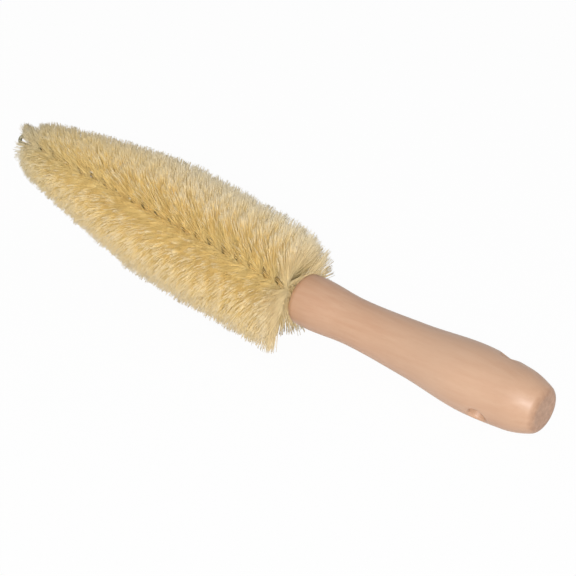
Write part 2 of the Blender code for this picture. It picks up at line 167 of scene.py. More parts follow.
@labelled
class BrushFibreSettings(PropertyGroup):
    """Sizes and colours of the fibre. Bearings round the head run from its top to its rear."""

    seed: count(23, "Start of the random draws")
    whorls: count(20, "Half turns of fibre along the stem")
    fibres: count(1800, "In one whorl, both sides together")
    locks: count(390, "Groups in a whorl that its fibres stick together in")
    rings: count(6, "How finely each fibre bends")
    root: size(0.00023, "Diameter of a fibre where the wire grips it")
    end: size(0.00020, "Diameter of a fibre where it is trimmed")
    band: size(0.0009, "Thickness of the pinched fibre between the legs")
    band_reach: size(0.0010, "From the head's axis to where fibres leave the band")

    head: size(0.0306, "Radius of the trimmed outline over the cylinder")
    cylinder: size(0.0786, "Length from the back of the fibre to the cone")
    cone_bulge: size(0.0010, "How far the cone's outline swells halfway along")
    tip: size(0.0137, "Radius of the trimmed outline at the end of the fibre")
    end_drop: size(0.0022, "How far the outline closes in at the end")
    end_length: size(0.0090, "Length over which it closes in there")
    back_drop: size(0.0018, "How far the outline closes in at the back")
    back_length: size(0.0065, "Length over which it closes in")
    back_open: flank(-140.0, 30.0, "Side where it doesn't close in")
    corner_wear: size(0.0032, "How much shorter the upper back corner is")
    corner_length: size(0.018, "Length over which it gets shorter")
    corner: flank(62.0, 38.0, "Side of that corner")
    low_wear: size(0.0008, "How much shorter the low front side is worn")
    low_worn: span((0.050, 0.145), "From and to, along the head")
    low_side: flank(-140.0, 45.0, "Side that is worn there")
    uneven: size(0.0008, "Usual shortfall of a lock from the outline")
    long: share(0.16, "Part of the locks that reaches the outline")
    past_back: size(0.0045, "How far out behind the band a tip may lie")
    past_end: size(0.0075, "How far out ahead of the band a tip may lie")

    loose: share(0.28, "Part of the fibres that is in no lock")
    loose_first: share(0.60, "The same in the first half turn")
    spread: size(0.0006, "How far apart the roots of one lock stand")
    gather: size(0.00090, "How closely the tips of one lock lie together")
    curl: size(0.0005, "How far a fibre bows between its root and its tip")
    early: share(0.75, "Part of a fibre's turn that it has made halfway out")
    lock_fan: size(0.0008, "How far locks stray along the brush at their tips")
    lock_sway: angle(3.5, "How far locks stray round the brush at their tips")
    fan: size(0.0018, "How far loose fibres stray along the brush")
    fan_sway: angle(6.0, "How far loose fibres stray round the brush")
    splay: size(0.0032, "How far the two faces of the band splay apart at their tips")
    parted: angle(28.0, "Usual turn of a fibre away from the middle of the parting")
    parted_at: angle(-50.0, "Bearing of the side where the fibre is parted")
    sweep: angle(18.0, "Usual turn by which the first fibres are swept round")
    swept: flank(90.0, 34.0, "Side where they are")
    broken: share(0.20, "Part of the fibres that ends well short")
    stray: size(0.0028, "How far the broken fibres stray along the brush")
    collar: share(0.60, "Part of the broken fibres that lies out over the two ends")
    back_collar: span((0.007, 0.015), "Least and most reach of its fibres at the back")
    tip_collar: span((0.0025, 0.011), "Least and most reach of its fibres at the tip")

    back_lean: share(0.09, "Backward lean at the back, as a share of the reach")
    back_low: share(0.30, "More of it, where the fibre is low in front")
    leaning_low: flank(-140.0, 22.0, "Side where it leans more")
    back_rear: share(0.22, "Less of it, where the fibre lies on the table")
    lying: flank(190.0, 18.0, "Side where it lies there")
    back_tuft: share(0.11, "More of it, in one tuft under the nose")
    tuft: flank(161.0, 7.0, "Side of that tuft")
    back_top: share(0.12, "More of it, over the second half turn of fibre")
    leaning_top: flank(50.0, 40.0, "Side where it leans more")
    cone_lean: share(0.15, "Towards the tip, as a share of the reach")
    tip_lean: share(0.06, "Towards the tip, as a share of the reach")
    tip_top: share(0.15, "More of it, on top of the last fibre")
    tip_side: flank(5.0, 45.0, "Side where it leans more")
    combed: share(0.09, "Extra lean of the upper side, less on the lower side")
    combed_at: angle(39.7, "Bearing of the side that leans the most")

    lock_tone: share(0.045, "How far the tones of locks differ")
    own_tone: share(0.08, "How far the tones in one lock differ")
    base: colour((0.985, 0.662, 0.200), "Fibre deep in the brush")
    middle: colour((0.985, 0.752, 0.310), "Most of each fibre")
    tips: colour((0.880, 0.722, 0.455), "Dry paler stretch near the trim")
    # Painted shade: a darker grey laid over the last stretch of the cone, growing towards the
    # tip
    dulled: colour((0.520, 0.480, 0.350), "What wear brings out at the tip")
    # Painted light: a paler tint laid on the upper side of the fibre, as if lit from above
    bleached: colour((0.990, 0.900, 0.690), "Where light has paled the top")
    # Painted shade: a darker grey on the cut ends of the fibres that reach the outline
    ends: colour((0.600, 0.495, 0.320), "The greyed cut end")
    deep: colour((0.950, 0.670, 0.230), "The darkest single fibres")
    bright: colour((0.990, 0.850, 0.510), "The brightest single fibres")


@labelled
class BrushStageSettings(PropertyGroup):
    """The camera, the table and the lights."""

    lens: focal(200.0, "Focal length")
    distance: size(1.46, "From the lens to the nose of the handle")
    azimuth: angle(36.94, "Camera's bearing, from straight in front")
    elevation: angle(29.63, "Camera's height above the horizon")
    nose_right: size(0.00589, "How far the nose sits right of the picture's middle")
    nose_down: size(0.00381, "How far the nose sits below the picture's middle")
    table: size(6.0, "From its middle to its edges")
    table_gap: size(0.0002, "Between the table and the brush")
    table_glow: share(0.96, "How near to white it shows to the eye")
    floor: colour((0.90, 0.90, 0.90), "Pale table")
    sky: colour((1.0, 1.0, 1.0), "Light from all round")
    sky_strength: share(0.34, "Even light")
    key: power(32.5, "Lamp behind the camera")
    key_distance: size(2.0, "From the brush")
    key_width: size(0.20, "Diameter of that lamp")
    fill: power(0.5, "Large lamp overhead")
    fill_width: size(1.2, "Diameter of that lamp")


def smooth_through(stations, values, first_slope, last_slope):
    """A function of the station that runs through the knots and never overshoots them.

    Between two knots it is the cubic that has their values and slopes. The slope at an
    inner knot is the harmonic mean of the slopes on its two sides, or level at a crest.
    """
    stations = np.asarray(stations, float)
    values = np.asarray(values, float)
    run = np.diff(stations)
    grade = np.diff(values) / run
    before, after = grade[:-1], grade[1:]
    same_way = before * after > 0
    safe = np.where(same_way, before + after, 1.0)
    inner = np.where(same_way, 2 * before * after / safe, 0.0)
    slopes = np.concatenate([[first_slope], inner, [last_slope]])

    def value(station):
        station = np.asarray(station, float)
        index = np.clip(np.searchsorted(stations, station) - 1, 0, len(run) - 1)
        part = (station - stations[index]) / run[index]
        blend = part * part * (3 - 2 * part)
        enter = slopes[index] * run[index] * part * (1 - part) ** 2
        leave = slopes[index + 1] * run[index] * part * part * (part - 1)
        rise = values[index + 1] - values[index]
        return values[index] + rise * blend + enter + leave

    return value


def grid_quads(rows, columns, first=0):
    """Corners of the quads of a grid of points stored row by row, closed round each row."""
    row = np.arange(rows - 1)[:, None] * columns
    column = np.arange(columns)[None, :]
    after = (column + 1) % columns
    corners = [row + column, row + after, row + columns + after, row + columns + column]
    return np.stack(corners, axis=-1).reshape(-1, 4) + first


def mesh_from(name, points, face_groups):
    """A mesh from an array of points and arrays of faces, each with its own corner count."""
    mesh = bpy.data.meshes.new(name)
    loops = np.concatenate([faces.ravel() for faces in face_groups]).astype(np.int32)
    sizes = np.concatenate([np.full(len(faces), faces.shape[1]) for faces in face_groups])
    starts = np.concatenate([[0], np.cumsum(sizes)[:-1]]).astype(np.int32)
    mesh.vertices.add(len(points))
    mesh.vertices.foreach_set("co", np.asarray(points, np.float32).ravel())
    mesh.loops.add(len(loops))
    mesh.loops.foreach_set("vertex_index", loops)
    mesh.polygons.add(len(sizes))
    mesh.polygons.foreach_set("loop_start", starts)
    mesh.update(calc_edges=True)
    mesh.validate()
    mesh.shade_smooth()
    return mesh


def close_up(mesh, sharp):
    """Merges the seams and poles, turns every face outwards, and keeps edges over sharp hard."""
    bm = bmesh.new()
    bm.from_mesh(mesh)
    bmesh.ops.remove_doubles(bm, verts=bm.verts, dist=1e-6)
    bmesh.ops.dissolve_degenerate(bm, edges=bm.edges, dist=1e-7)
    bmesh.ops.recalc_face_normals(bm, faces=bm.faces)
    bm.to_mesh(mesh)
    bm.free()
    mesh.set_sharp_from_angle(angle=sharp)


def add_object(thing):
    bpy.context.scene.collection.objects.link(thing)
    return thing


def show(name, mesh, material, slot, *nodes):
    """Puts a finished piece on the brush in place of its CAD nodes."""
    mesh.materials.append(material)
    piece = add_object(bpy.data.objects.new(name, mesh))
    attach(piece, "root")
    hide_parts(*nodes)


class NodeSheet:
    """Shorthand for the nodes of a material or a world: each call adds one and links it."""

    def __init__(self, owner):
        owner.use_nodes = True
        self.owner = owner
        self.tree = owner.node_tree

    def add(self, kind, inputs=None, **values):
        node = self.tree.nodes.new(kind)
        for key, value in values.items():
            setattr(node, key, value)
        for key, value in (inputs or {}).items():
            self.feed(node.inputs[key], value)
        return node

    def feed(self, socket, value):
        if isinstance(value, bpy.types.NodeSocket):
            self.tree.links.new(value, socket)
        elif isinstance(value, bpy.types.Node):
            self.tree.links.new(value.outputs[0], socket)
        else:
            socket.default_value = value

    def surface(self, inputs):
        shader = self.tree.nodes["Principled BSDF"]
        for key, value in inputs.items():
            self.feed(shader.inputs[key], value)
        return self.owner

    def ramp(self, factor, *stops):
        node = self.add("ShaderNodeValToRGB", {"Fac": factor})
        elements = node.color_ramp.elements
        while len(elements) < len(stops):
            elements.new(0.5)
        for element, (place, value) in zip(elements, stops):
            element.position = place
            element.color = rgba(value)
        return node.outputs["Color"]

    def grey_ramp(self, factor, *stops):
        return self.ramp(factor, *[(place, (v, v, v)) for place, v in stops])

    def mix(self, factor, first, second, blend="MIX"):
        inputs = {0: factor, 6: first, 7: second}
        return self.add("ShaderNodeMix", inputs, data_type="RGBA", blend_type=blend).outputs[2]

    def tint(self, under, value, factor, *stops):
        """Lays a colour over what is under it, by a factor or by a ramp over it."""
        factor = self.grey_ramp(factor, *stops) if stops else factor
        return self.mix(factor, under, rgba(value))

    def maths(self, operation, first, second):
        return self.add("ShaderNodeMath", {0: first, 1: second}, operation=operation).outputs[0]

    def noise(self, vector, scale, detail=2.0, roughness=0.5):
        inputs = {"Vector": vector, "Scale": scale, "Detail": detail, "Roughness": roughness}
        return self.add("ShaderNodeTexNoise", inputs).outputs["Fac"]

    def bump(self, height, strength, distance):
        inputs = {"Strength": strength, "Distance": distance, "Height": height}
        return self.add("ShaderNodeBump", inputs)

    def attribute(self, name):
        return self.add("ShaderNodeAttribute", attribute_name=name).outputs["Fac"]

    def place(self):
        return self.add("ShaderNodeTexCoord").outputs["Object"]

    def vectors(self, operation, first, second=(0.0, 0.0, 0.0)):
        inputs = {0: first, 1: second}
        return self.add("ShaderNodeVectorMath", inputs, operation=operation).outputs[0]

    def distance_along(self, origin, axis):
        """How far a place lies past the origin along an axis, in metres."""
        offset = self.vectors("SUBTRACT", self.place(), tuple(origin))
        inputs = {0: offset, 1: tuple(axis)}
        node = self.add("ShaderNodeVectorMath", inputs, operation="DOT_PRODUCT")
        return node.outputs["Value"]

    def band(self, value, first, last):
        """Rises evenly from 0 to 1 while the value goes from first to last."""
        inputs = {"Value": value, "From Min": first, "From Max": last}
        return self.add("ShaderNodeMapRange", inputs).outputs["Result"]

    def outward_normal(self, part):
        """The surface's normal, turned by part towards straight out from the head's axis.

        Out from the axis is the place less its own shadow on the axis. A mass of fibre
        catches the light like that near the roots, and each fibre by itself at the tips.
        """
        origin, _, _, to_tip = head_frame()
        offset = self.vectors("SUBTRACT", self.place(), tuple(origin))
        shadow = self.vectors("PROJECT", offset, tuple(to_tip))
        out = self.vectors("NORMALIZE", self.vectors("SUBTRACT", offset, shadow))
        world = self.add(
            "ShaderNodeVectorTransform", {"Vector": out},
            vector_type="NORMAL", convert_from="OBJECT", convert_to="WORLD",
        )
        own = self.add("ShaderNodeNewGeometry").outputs["Normal"]
        blend = self.add("ShaderNodeMix", {0: part, 4: own, 5: world}, data_type="VECTOR")
        return self.vectors("NORMALIZE", blend.outputs[1])


def two_faced(owner, output, lit, seen, part=1.0):
    """Gives a material or the world one shader for the light, and by part one for the eye.

    The eye is the camera's rays, and those that a gloss or a glass passes on.
    """
    sheet = NodeSheet(owner)
    sheet.tree.nodes.clear()
    path = sheet.add("ShaderNodeLightPath").outputs
    eye = sheet.maths("MAXIMUM", path["Is Camera Ray"], path["Is Glossy Ray"])
    eye = sheet.maths("MAXIMUM", eye, path["Is Transmission Ray"])
    factor = sheet.maths("MULTIPLY", eye, part)
    mix = sheet.add("ShaderNodeMixShader", {0: factor, 1: sheet.add(*lit), 2: sheet.add(*seen)})
    sheet.add(output, {"Surface": mix})
    return owner


def rgba(value):
    return (*value, 1.0)


def wood_material(choice):
    """Pale lacquered wood: faint rings, short flecks and streaks that run along the handle.

    The hand has rubbed the palm stretch paler. The end grain at the butt has drunk more
    lacquer, so that it is darker and blotchy.
    """
    sheet = NodeSheet(bpy.data.materials.new("lacquered_wood"))

    def grain(along, across):
        """Object coordinates turned to the handle's axis, and scaled along and across it."""
        turn = (0.0, math.atan2(TO_BUTT[2], TO_BUTT[0]), 0.0)
        inputs = {"Vector": sheet.place(), "Rotation": turn, "Scale": (along, across, across)}
        return sheet.add("ShaderNodeMapping", inputs).outputs["Vector"]

    streaks = sheet.noise(grain(60.0, 420.0), 1.0, 4.0, 0.6)
    flecks = sheet.noise(grain(330.0, 1900.0), 1.0, 1.0, 0.4)
    broad = sheet.noise(grain(16.0, 38.0), 1.0)
    inputs = {"Vector": grain(9.0, 60.0), "Scale": 1.6, "Distortion": 3.0, "Detail": 2.0}
    waves = sheet.add("ShaderNodeTexWave", inputs, wave_type="BANDS", bands_direction="Z")
    rings = sheet.maths("MULTIPLY", waves.outputs["Fac"], 0.08)
    tone = sheet.tint(rgba(choice.wood_pale), choice.wood, streaks, (0.30, 0.0), (0.75, 1.0))
    ringed = sheet.tint(tone, choice.wood_dark, rings)
    flecked = sheet.tint(ringed, choice.wood_dark, flecks, (0.60, 0.0), (0.72, 0.12))
    mottle = sheet.grey_ramp(broad, (0.30, 0.90), (0.70, 1.0))
    mottled = sheet.mix(1.0, flecked, mottle, "MULTIPLY")
    from_butt = sheet.distance_along(BUTT_CENTRE, TO_BUTT)
    rubbed = sheet.tint(
        mottled, choice.wood_rubbed, sheet.band(from_butt, -choice.length, 0.0),
        (0.0, 0.0), (0.30, 0.05), (0.62, 0.40), (0.85, 0.24), (1.0, 0.14),
    )
    rim, face = -0.0024, -0.0003
    end_face = sheet.band(from_butt, rim, face)
    blotches = sheet.noise(sheet.place(), 420.0, 3.0, 0.6)
    blotches = sheet.grey_ramp(blotches, (0.35, 0.25), (0.65, 0.75))
    return sheet.surface({
        "Base Color": sheet.tint(
            rubbed, choice.end_grain, sheet.maths("MULTIPLY", end_face, blotches)
        ),
        "Roughness": sheet.grey_ramp(streaks, (0.25, 0.42), (0.80, 0.52)),
        "Normal": sheet.bump(streaks, 0.06, 0.0002),
        "Coat Weight": 0.12,
        "Coat Roughness": 0.38,
    })


def wire_material(choice):
    """Dull galvanised steel: a soft spangle, darker oxide, and in among the fibre a lighter
    brown that is partly fibre dust and partly painted light over the wire's shade.
    """
    sheet = NodeSheet(bpy.data.materials.new("galvanised_wire"))
    place = sheet.place()
    spangle = sheet.add("ShaderNodeTexVoronoi", {"Vector": place, "Scale": 900.0})
    cloud = sheet.noise(place, 650.0, 4.0, 0.6)
    body = sheet.tint(rgba(choice.metal_dark), choice.metal, cloud, (0.35, 0.0), (0.68, 1.0))
    along = sheet.distance_along(head_frame()[0], head_frame()[3])
    # Inside the fibre the wire is tinted a lighter brown: partly dust, partly painted light over
    # the shade there
    end, clear, buried, bare = fibre_end(), 0.001, 0.003, 0.004
    dust_and_light_part = sheet.band(along, end + clear, end - buried)
    return sheet.surface({
        "Base Color": sheet.tint(body, choice.dust, dust_and_light_part),
        "Roughness": sheet.grey_ramp(spangle.outputs["Distance"], (0.10, 0.36), (0.70, 0.58)),
        "Normal": sheet.bump(cloud, 0.25, 0.00008),
        "Metallic": sheet.band(along, end, end + bare),
    })


def glue_material(choice):
    """Cured glue, cloudy and a little glossy."""
    sheet = NodeSheet(bpy.data.materials.new("cured_glue"))
    cloud = sheet.noise(sheet.place(), 420.0, 3.0, 0.5)
    darker = [0.7 * value for value in choice.glue]
    return sheet.surface({
        "Base Color": sheet.tint(rgba(darker), choice.glue, cloud),
        "Roughness": sheet.grey_ramp(cloud, (0.3, 0.28), (0.7, 0.45)),
    })


def fibre_material(choice):
    """Dry plant fibre. Each strand has its own tone, amber inside and paler where it is dry.

    Painted shade darkens and greys the last stretch of the cone and the cut ends on the outline,
    and painted light pales the upper side.
    """
    sheet = NodeSheet(bpy.data.materials.new("natural_fibre"))
    middle, up, across, to_tip = head_frame()
    tone = sheet.attribute("tone")
    # The last stop of this ramp is painted shade: the ends of fibres at the outline turn darker
    # grey
    along = sheet.ramp(
        sheet.attribute("dry"),
        (0.0, choice.base), (0.38, choice.middle), (0.78, choice.middle),
        (0.95, choice.tips), (1.0, choice.ends),
    )
    dark = sheet.tint(along, choice.deep, tone, (0.0, 0.75), (0.35, 0.0))
    bright = sheet.tint(dark, choice.bright, tone, (0.62, 0.0), (1.0, 0.85))
    patches = sheet.grey_ramp(sheet.noise(sheet.place(), 110.0), (0.32, 0.95), (0.68, 1.0))
    patched = sheet.mix(1.0, bright, patches, "MULTIPLY")
    # Painted shade: the fibre is tinted darker and greyer over the last stretch towards the tip
    tip_shade_length = 0.050
    along_head = sheet.distance_along(middle, to_tip)
    near_end = sheet.band(along_head, fibre_end() - tip_shade_length, fibre_end())
    dulled = sheet.tint(patched, choice.dulled, near_end, (0.0, 0.0), (0.5, 0.12), (1.0, 0.46))
    # Painted light: the fibre is tinted paler the further out it lies towards the upper, combed
    # side
    light = up * math.cos(choice.combed_at) + across * math.sin(choice.combed_at)
    height = sheet.band(sheet.distance_along(middle, light), 0.0, choice.head)
    inner = sheet.grey_ramp(sheet.attribute("reach"), (0.0, 0.75), (0.80, 0.0))
    return sheet.surface({
        "Base Color": sheet.tint(
            dulled, choice.bleached, height, (0.40, 0.0), (0.75, 0.32), (1.0, 0.66)
        ),
        "Roughness": sheet.grey_ramp(tone, (0.0, 0.70), (1.0, 0.52)),
        "Normal": sheet.outward_normal(inner),
        "Specular IOR Level": 0.45,
    })


def handle_outline(choice):
    """The handle's radius as a function of the distance from its nose, and where it ends."""
    def butt_arc(turn):
        back = choice.length - choice.butt_edge * (1 - math.sin(turn))
        return back, choice.butt_face / 2 + choice.butt_edge * math.cos(turn)

    belly = choice.length - choice.belly_from_butt
    body_end, body_end_radius = butt_arc(choice.butt_taper)
    stations = [
        choice.nose_edge, choice.bulge_from_nose, choice.waist_from_nose,
        (choice.waist_from_nose + belly) / 2, belly,
        choice.length - choice.shoulder_from_butt, body_end,
    ]
    radii = [
        choice.nose / 2, choice.bulge / 2, choice.waist / 2, choice.palm / 2,
        choice.belly / 2, choice.shoulder / 2, body_end_radius,
    ]
    radius = smooth_through(stations, radii, 0.0, -math.tan(choice.butt_taper))
    return radius, body_end, butt_arc


def handle_point(station, height, sideways):
    """World place of a point given along the handle and, square to it, up and across."""
    nose = BUTT_CENTRE - TO_BUTT * bpy.context.scene.brush_handle.length
    station, height, sideways = np.broadcast_arrays(station, height, sideways)
    return (
        nose + station[..., None] * TO_BUTT + height[..., None] * HANDLE_UP
        + sideways[..., None] * ACROSS
    )


def handle_mesh(choice):
    """The handle as one closed surface.

    The turned part is radius(s) times the unit circle at each station s. Round each mouth
    of the hang hole, a window of that grid is swapped for rings: at turn t round the hole,
    ring k stands at a distance from the hole's axis that grows evenly from the mouth to
    the window's edge, on the turned surface. The mouth rolls over a quarter circle, and
    the hole's wall runs straight from one mouth to the other.
    """
    radius, body_end, butt_arc = handle_outline(choice)
    columns, body_rows, arc_rows = 160, 168, 12
    half_columns, ring_count, roll_rows, wall_rows = 14, 7, 7, 10
    window_size = 1.75
    body = np.linspace(choice.nose_edge, body_end, body_rows)
    turns = 2 * np.pi * np.arange(columns) / columns
    front = -np.pi / 2 - choice.hole_tilt
    angles = front + turns

    def around(station, ring_radius):
        return handle_point(
            station[:, None],
            ring_radius[:, None] * np.cos(angles),
            ring_radius[:, None] * np.sin(angles),
        )

    arc = np.linspace(0, np.pi / 2, arc_rows)[:-1]
    nose_station = choice.nose_edge * (1 - np.cos(arc))
    nose_radius = choice.nose / 2 - choice.nose_edge * (1 - np.sin(arc))
    mouth = choice.bore / 2 + choice.bore_chamfer
    start_station = [choice.bore_depth, choice.bore_depth, choice.bore_chamfer, 0.0]
    start_radius = [0.0, choice.bore / 2, choice.bore / 2, mouth]
    arc = np.linspace(choice.butt_taper, np.pi / 2, arc_rows)[1:]
    butt = [butt_arc(turn) for turn in arc]
    station = np.concatenate([
        start_station, nose_station, body, [place for place, _ in butt], [choice.length]
    ])
    ring_radius = np.concatenate([
        start_radius, nose_radius, radius(body), [wide for _, wide in butt], [0.0]
    ])
    points = [around(station, ring_radius).reshape(-1, 3)]
    quads = grid_quads(len(station), columns)

    hole = choice.length - choice.hole_from_butt
    first_body = len(start_station) + len(nose_station)
    window = window_size * choice.hole / 2 + choice.hole_ease
    inside = np.flatnonzero(np.abs(body - hole) < window)
    low, high = first_body + inside[0], first_body + inside[-1]
    face_row, face_column = np.divmod(np.arange(len(quads)), columns)
    in_rows = (face_row >= low) & (face_row < high)
    offset = choice.hole_offset
    middle = round(math.asin(offset / float(radius(hole))) / (2 * math.pi) * columns)
    back_middle = columns // 2 - middle
    front_gap = (face_column - middle + half_columns) % columns < 2 * half_columns
    back_gap = (face_column - back_middle + half_columns) % columns < 2 * half_columns
    quads = quads[~(in_rows & (front_gap | back_gap))]
    faces = [quads]

    rows = np.arange(low, high)
    steps = np.arange(-half_columns, half_columns)
    edge_row = np.concatenate([
        np.full(2 * half_columns, low), rows,
        np.full(2 * half_columns, high), rows[::-1] + 1,
    ])
    edge_column = middle + np.concatenate([
        steps, np.full(len(rows), half_columns),
        steps[::-1] + 1, np.full(len(rows), -half_columns),
    ])
    edge_station = station[edge_row]
    edge_side = radius(edge_station) * np.sin(2 * np.pi * edge_column / columns) - offset
    turn = np.arctan2(edge_side, edge_station - hole)
    reach = np.hypot(edge_side, edge_station - hole)
    hole_radius = choice.hole / 2
    wide = hole_radius + choice.hole_ease

    def over_hole(distance, drop):
        """(station, sideways, height) round the hole, drop below the turned surface."""
        along = hole + distance * np.cos(turn)
        aside = offset + distance * np.sin(turn)
        return along, aside, np.sqrt(radius(along) ** 2 - aside ** 2) - drop

    part = np.linspace(1, 0, ring_count + 1)
    sheets = [over_hole(wide + (reach - wide) * k, 0.0) for k in part]
    roll = np.linspace(0, np.pi / 2, roll_rows + 1)[1:]
    sheets += [
        over_hole(hole_radius + choice.hole_ease * (1 - math.sin(a)),
                  choice.hole_ease * (1 - math.cos(a)))
        for a in roll
    ]
    along, aside, height = sheets[-1]
    sheets += [(along, aside, height * k) for k in np.linspace(1, 0, wall_rows)[1:]]
    along, aside, height = np.array(sheets).transpose(1, 0, 2)
    for way in (1.0, -1.0):
        tall = way * height
        up = tall * math.cos(front) - aside * math.sin(front)
        across = tall * math.sin(front) + aside * math.cos(front)
        first = sum(len(each) for each in points)
        points.append(handle_point(along, up, across).reshape(-1, 3))
        faces.append(grid_quads(len(sheets), len(turn), first))
    mesh = mesh_from("handle_wood", np.concatenate(points), faces)
    close_up(mesh, math.radians(50))
    return mesh


def head_frame():
    """Middle of the bend, and the head's own up, across and towards-the-tip directions."""
    handle = bpy.context.scene.brush_handle
    wire = bpy.context.scene.brush_wire
    bend = BUTT_CENTRE - TO_BUTT * (handle.length + wire.bare / 2)
    to_tip = -TO_BUTT * math.cos(wire.bend) + HANDLE_UP * math.sin(wire.bend)
    up = HANDLE_UP * math.cos(wire.bend) + TO_BUTT * math.sin(wire.bend)
    return bend, up, ACROSS, to_tip


def crossed(first, second, turn):
    """For each pair of directions, (cos a, sin a) on them at every turn a."""
    return first[:, None] * np.cos(turn)[..., None] + second[:, None] * np.sin(turn)[..., None]


def head_place(up, across, along):
    """World place of points given in the head's frame."""
    origin, x, y, z = head_frame()
    return origin + up[..., None] * x + across[..., None] * y + along[..., None] * z


def band_angle(along):
    """Direction of the pinched band at a distance along the head axis."""
    wire = bpy.context.scene.brush_wire
    return 2 * np.pi / wire.pitch * (along - wire.upright_at)


def fibre_start():
    return bpy.context.scene.brush_wire.bare / 2


def fibre_end():
    half_pitch = bpy.context.scene.brush_wire.pitch / 2
    return fibre_start() + bpy.context.scene.brush_fibre.whorls * half_pitch


def tube(path, radius, sides):
    """A tube of one radius along a path, closed at both ends.

    Each ring is radius times (cos a, sin a) on two directions square to the path. They are
    carried along it by taking out of the last pair what now lies along the path.
    """
    tangent = np.gradient(path, axis=0)
    tangent /= np.linalg.norm(tangent, axis=1)[:, None]
    first = np.zeros_like(path)
    guess = np.cross(tangent[0], [0.0, 0.0, 1.0])
    for index, direction in enumerate(tangent):
        guess = guess - direction * (guess @ direction)
        guess /= np.linalg.norm(guess)
        first[index] = guess
    second = np.cross(tangent, first)
    turn = 2 * np.pi * np.arange(sides) / sides
    points = path[:, None, :] + radius * crossed(first, second, turn)
    ends = np.stack([path[0], path[-1]])
    first_end = len(path) * sides
    last = first_end - sides
    around = np.arange(sides)
    after = (around + 1) % sides
    centre = np.full(sides, first_end)
    fans = [
        np.stack([centre, after, around], axis=1),
        np.stack([centre + 1, last + around, last + after], axis=1),
    ]
    return (
        np.concatenate([points.reshape(-1, 3), ends]),
        [grid_quads(len(path), sides), np.concatenate(fans)],
    )


def leg_path(choice, side, points_per_turn=28):
    """One leg of the wire: a helix about the stem's own line.

    The line is straight along the head, bends evenly over the bare stretch and is straight
    again in the bore. The leg stands off it square to the band, and stops turning where
    the twist dies out at the tip.
    """
    fibre = bpy.context.scene.brush_fibre
    start = choice.bare / 2
    bottom, top = -start - choice.insertion, fibre_end() + choice.eye_untwist
    steps = round((top - bottom) / choice.pitch * points_per_turn)
    along = np.linspace(bottom, top, steps + 1)
    bend_radius = choice.bare / choice.bend
    lean = -choice.bend * np.clip((start - along) / choice.bare, 0.0, 1.0)
    in_bore = np.minimum(along + start, 0.0)
    line_up = bend_radius * (1 - np.cos(lean)) + in_bore * np.sin(lean)
    bent = start + bend_radius * np.sin(lean) + in_bore * np.cos(lean)
    line_along = np.where(along >= start, along, bent)
    line_up = np.where(along >= start, 0.0, line_up)
    part = np.clip((along + start) / choice.bare, 0.0, 1.0)
    blend = part * part * (3 - 2 * part)
    close = choice.wire / 2 + choice.leg_gap / 2
    apart = choice.wire / 2 + fibre.band / 2 + choice.band_gap
    offset = side * (close + (apart - close) * blend)
    past = np.maximum(along - fibre_end(), 0.0)
    turn = band_angle(along - past * past / (2 * choice.eye_untwist)) + np.pi / 2
    up = line_up + offset * np.cos(turn) * np.cos(lean)
    across = offset * np.sin(turn)
    run = line_along - offset * np.cos(turn) * np.sin(lean)
    return head_place(up, across, run)


def wire_mesh(choice, eye_steps=15, sides=14):
    """Up one leg, round the eye at the tip and down the other leg, as one tube."""
    first, second = leg_path(choice, 1), leg_path(choice, -1)[::-1]
    middle = (first[-1] + second[0]) / 2
    out = first[-1] - middle
    to_tip = head_frame()[3]
    turn = np.linspace(0, np.pi, eye_steps)[1:-1, None]
    eye = middle + np.cos(turn) * out + np.sin(turn) * np.linalg.norm(out) * to_tip
    path = np.concatenate([first, eye, second])
    mesh = mesh_from("stem_wire_fine", *tube(path, choice.wire / 2, sides))
    mesh.set_sharp_from_angle(angle=math.radians(60))
    return mesh


def near(turn, place):
    """1 at a bearing round the head, falling off evenly on its two sides over a width."""
    bearing, width = place
    away = (turn - bearing + np.pi) % (2 * np.pi) - np.pi
    return np.exp(-(away / width) ** 2)


def outline_radius(choice, along, turn):
    """Radius of the trimmed outline: level and then a cone, rounded in at both ends.

    On the low front side the fibre splays at the back, and isn't rounded in there, and it is
    worn a little shorter halfway along. The upper corner at the back is worn down evenly.
    """
    start, end = fibre_start(), fibre_end()
    cone = start + choice.cylinder
    taper = np.clip((along - cone) / (end - cone), 0.0, 1.05)
    swell = choice.cone_bulge * np.sin(np.pi * np.clip(taper, 0.0, 1.0))
    narrow = (choice.tip - choice.head) * taper
    back = np.clip(1 - (along - start) / choice.back_length, 0.0, 1.0)
    front = np.clip(1 - (end - along) / choice.end_length, 0.0, 1.4)
    corner = np.clip(1 - (along - start) / choice.corner_length, 0.0, 1.0)
    low, high = choice.low_worn
    halfway = np.sin(np.pi * np.clip((along - low) / (high - low), 0.0, 1.0))
    short = (
        choice.back_drop * (1 - near(turn, choice.back_open)) * back ** 2
        + choice.end_drop * front ** 2
        + choice.corner_wear * near(turn, choice.corner) * corner
        + choice.low_wear * near(turn, choice.low_side) * halfway
    )
    return choice.head + narrow + swell - short


